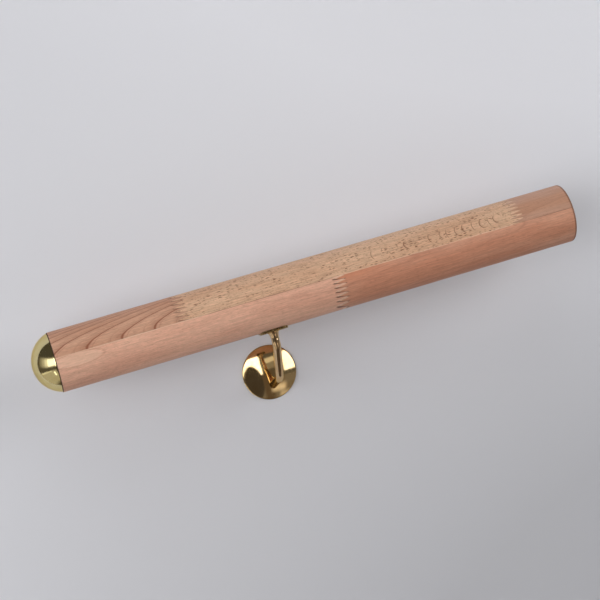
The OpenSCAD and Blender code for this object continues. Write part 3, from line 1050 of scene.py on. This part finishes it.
def make_wall():
    """The board that the bracket is on, open behind the rosette."""
    corners = [(x, z) for x in (WALL_RIGHT, WALL_LEFT) for z in (WALL_TOP, FLOOR_Z)]
    angles = [2 * math.pi * k / WALL_HOLE_SEGMENTS for k in range(WALL_HOLE_SEGMENTS)]
    angles += [math.atan2(z, x) % (2 * math.pi) for x, z in corners]
    points = []
    for angle in sorted(angles):
        x = math.cos(angle)
        z = math.sin(angle)
        across = (WALL_RIGHT if x > 0 else WALL_LEFT) / x if abs(x) > 1e-9 else math.inf
        upwards = (WALL_TOP if z > 0 else FLOOR_Z) / z if abs(z) > 1e-9 else math.inf
        for reach in (WALL_HOLE_R, min(across, upwards)):
            points.append((reach * x, WALL_GAP, reach * z))
    count = len(points)
    faces = [(k, k + 1, (k + 3) % count, (k + 2) % count) for k in range(0, count, 2)]
    stage_piece("wall_board", points, faces, wall_material())


def make_floor():
    signs = ((-1, -1), (1, -1), (1, 1), (-1, 1))
    points = [(x * FLOOR_REACH, y * FLOOR_REACH, FLOOR_Z) for x, y in signs]
    stage_piece("floor", points, [(0, 1, 2, 3)], floor_material()).visible_glossy = False


def bearing(azimuth, elevation):
    """Direction from the part: azimuth 0 into the wall, 90 towards the plain end, 180 to the viewer."""
    az = math.radians(azimuth)
    el = math.radians(elevation)
    return Vector((math.sin(az) * math.cos(el), math.cos(az) * math.cos(el), math.sin(el)))


def softbox(name, azimuth, elevation, distance, width, height, radiance):
    """A rectangular light that faces the part. The world shows its image in polished metal."""
    light = bpy.data.lights.new(name, "AREA")
    light.shape = "RECTANGLE"
    light.size = width
    light.size_y = height
    light.energy = radiance * math.pi * width * height
    lamp = link_object(name, light)
    direction = bearing(azimuth, elevation)
    target = Vector((0, AXIS_Y, AXIS_Z / 2))
    lamp.location = target + distance * direction
    lamp.rotation_euler = direction.to_track_quat("Z", "Y").to_euler()
    lamp.visible_camera = False
    lamp.visible_glossy = False


def make_lights():
    softbox("left_softbox", -137, 5, 1.5, 1.5, 0.66, 2.5)
    softbox("left_high_softbox", -137, 20, 1.5, 1.5, 0.66, 1.7)
    softbox("top_softbox", -170, 62, 2.2, 1.8, 1.4, 1.45)
    softbox("right_softbox", 125, 15, 1.6, 1.2, 0.8, 3.0)
    softbox("back_fill", 30, 25, 2.2, 1.6, 1.2, 0.8)


# What polished metal mirrors, as soft patches of the room: each lies between two
# bearings, in degrees to the left of the viewer, and between two elevations. A dark
# oval in the left window stands for whatever screens it.
PATCHES = (
    # right, left, low, high, softness, radiance
    (-180, 180, 24, 90, 5, (0.075, 0.070, 0.060)),
    (-180, 180, -90, -18, 2, (0.20, 0.175, 0.15)),
    (36, 110, -70, -18, 2, (0.50, 0.47, 0.41)),
    (56, 104, -22, -18, 1, (0.85, 0.82, 0.74)),
    (-180, 180, -90, -62, 8, (0.075, 0.060, 0.048)),
    (-14, 6, -66, -4, 4, (0.12, 0.090, 0.065)),
    (38, 98, -3, 22, 5, (0.30, 0.29, 0.26)),
    (38, 87, -3, 22, 6, (0.52, 0.50, 0.46)),
    (38, 74, -3, 20, 6, (1.0, 0.97, 0.90)),
    (34, 62, -3, 20, 3, (1.9, 1.9, 1.85)),
    (3, 35, -8, 23, 1.5, (3.0, 2.95, 2.9)),
    (-56, -33, -12, 16, 1.6, (2.5, 2.45, 2.4)),
    (-22, -1, -3, 15, 1.2, (0.27, 0.24, 0.20)),
    (-21, -2, 7, 14, 1.2, (0.72, 0.66, 0.55)),
    (-34, -8, -40, -30, 5, (0.85, 0.76, 0.66)),
    (-52, -24, -50, -42, 4, (0.60, 0.55, 0.48)),
    (44, 49, -38, -24, 1.5, (2.2, 2.1, 1.9)),
)


def make_world():
    """The room: diffuse light, what metal mirrors, and a plain pale backdrop for the camera."""
    world = bpy.data.worlds.new("room")
    world.use_nodes = True
    bpy.context.scene.world = world
    world.node_tree.nodes.clear()
    sky = Nodes(world.node_tree)
    split = sky.node("SeparateXYZ", sky.node("TexCoord").outputs["Generated"]).outputs
    minus_x = sky.math("MULTIPLY", split[0], -1.0)
    minus_y = sky.math("MULTIPLY", split[1], -1.0)
    bearing_left = sky.math("DEGREES", sky.math("ARCTAN2", minus_x, minus_y))
    elevation = sky.math("DEGREES", sky.math("ARCSINE", split[2]))
    colour = (0.11, 0.10, 0.085)
    for right, left, low, high, soft, radiance in PATCHES:
        across = sky.band(bearing_left, right, left, soft)
        mask = sky.math("MULTIPLY", across, sky.band(elevation, low, high, soft))
        colour = sky.mix(mask, colour, radiance)
    from_figure = sky.node("CombineXYZ", bearing_left, elevation, 0.0).outputs[0]
    from_figure = sky.vector("SUBTRACT", from_figure, (20, -20, 0))
    oval = sky.vector("MULTIPLY", from_figure, (1 / 15.5, 1 / 29, 0))
    figure = sky.node("VectorMath", oval, operation="LENGTH").outputs["Value"]
    colour = sky.mix(sky.fade(figure, 1.08, 0.92), colour, (0.065, 0.055, 0.047))
    mirrored = sky.node("Background", colour, 1.0).outputs[0]
    soft_light = sky.node("Background", (1.0, 1.0, 1.0, 1.0), 0.03)
    backdrop = sky.node("Background", (0.62, 0.62, 0.64, 1.0), 1.0).outputs[0]
    ray = sky.node("LightPath").outputs
    lit = sky.node("MixShader", ray["Is Glossy Ray"], soft_light.outputs[0], mirrored).outputs[0]
    seen = sky.node("MixShader", ray["Is Camera Ray"], lit, backdrop).outputs[0]
    sky.node("OutputWorld", seen)


CAMERA_PLACE = Vector((-0.2549, -1.5065, 0.2555))
CAMERA_YAW = 11.32
CAMERA_PITCH = 7.34
CAMERA_ROLL = -14.95
CAMERA_LENS = 98.09


def make_camera():
    """The photograph's viewpoint: left of and above the rail, rolled to its slope."""
    yaw = math.radians(CAMERA_YAW)
    pitch = math.radians(CAMERA_PITCH)
    roll = math.radians(CAMERA_ROLL)
    data = bpy.data.cameras.new("camera")
    data.sensor_width = 36
    data.lens = CAMERA_LENS
    data.clip_start = 0.05
    ahead = Vector((math.sin(yaw) * math.cos(pitch), math.cos(yaw) * math.cos(pitch), -math.sin(pitch)))
    right = Vector((math.cos(yaw), -math.sin(yaw), 0))
    up = right.cross(ahead)
    rolled_right = right * math.cos(roll) + up * math.sin(roll)
    rolled_up = up * math.cos(roll) - right * math.sin(roll)
    turn = Matrix((rolled_right, rolled_up, -ahead)).transposed()
    camera = link_object("camera", data)
    camera.matrix_world = Matrix.Translation(CAMERA_PLACE) @ turn.to_4x4()
    bpy.context.scene.camera = camera


bpy.context.scene.view_settings.view_transform = "Standard"
wood_pieces()
cap_brass = brass_material("brass_cap", (0.78, 0.675, 0.37), (0.74, 0.615, 0.31), 0.13)
rosette_brass = brass_material("brass_rosette", (0.83, 0.63, 0.345), (0.77, 0.555, 0.275), 0.11)
arm_brass = brass_material("brass_arm", (0.77, 0.555, 0.34), (0.69, 0.475, 0.27), 0.12)
# Painted shade and painted reflection: the saddle's brass is a darker copy of the others, standing in
# for the shade it sits in and the dark room it mirrors.
saddle_brass = brass_material("brass_saddle_painted_shade", (0.38, 0.27, 0.14), (0.30, 0.20, 0.095), 0.34)
brass_pieces(cap_brass, rosette_brass, arm_brass, saddle_brass)
steel = steel_material()
for name in ("cap_stud", "saddle_screw", "rail_screws", "wall_stud"):
    carried_over(name, steel, 0.12 * MM)
carried_over("wall_plug", nylon_material(), 0.15 * MM)
make_wall()
make_floor()
make_lights()
make_world()
make_camera()
